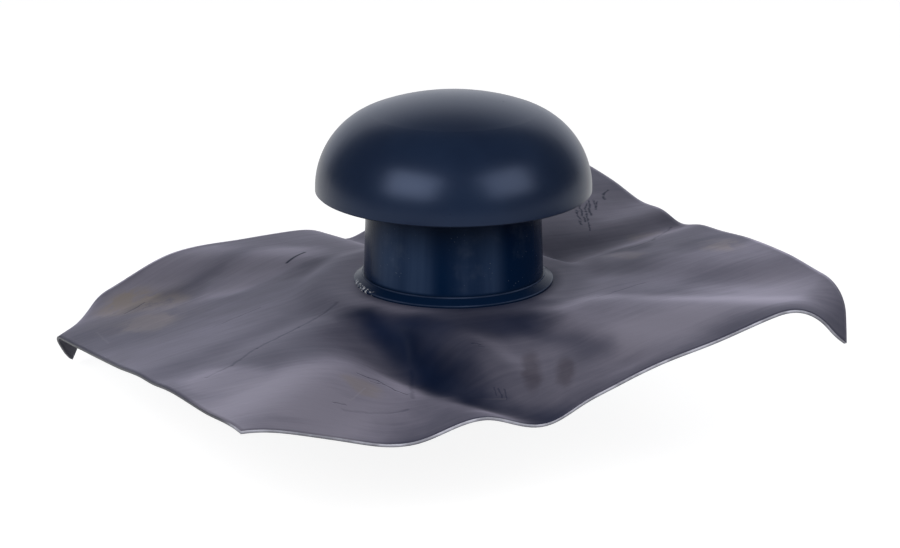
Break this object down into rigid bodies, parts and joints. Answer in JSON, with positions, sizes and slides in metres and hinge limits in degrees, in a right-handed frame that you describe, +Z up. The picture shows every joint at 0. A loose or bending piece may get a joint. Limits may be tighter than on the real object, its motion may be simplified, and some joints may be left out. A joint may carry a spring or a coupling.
{
  "type": "roof vent cap",
  "caption": "Domed vent hood on a collar with a pipe socket, its flange bonded to a draped square sheet of soft flashing.",
  "frame": {"origin": "on the collar's axis, in the plane where the flange sits on the flashing sheet", "axes": "+Z up along the collar's axis, -Y towards the viewer of the picture, +X to the viewer's right"},
  "size_m": [0.4827, 0.5227, 0.2012],
  "materials": {
    "hood_plastic": "satin moulded plastic",
    "collar_plastic": "glossy moulded plastic",
    "flashing": "satin, soft plasticised sheet"
  },
  "bodies": {
    "root": {"hood": "hood_plastic", "collar": "collar_plastic", "clamp_ring": "collar_plastic", "flashing_sheet": "flashing"}
  },
  "joints": []
}
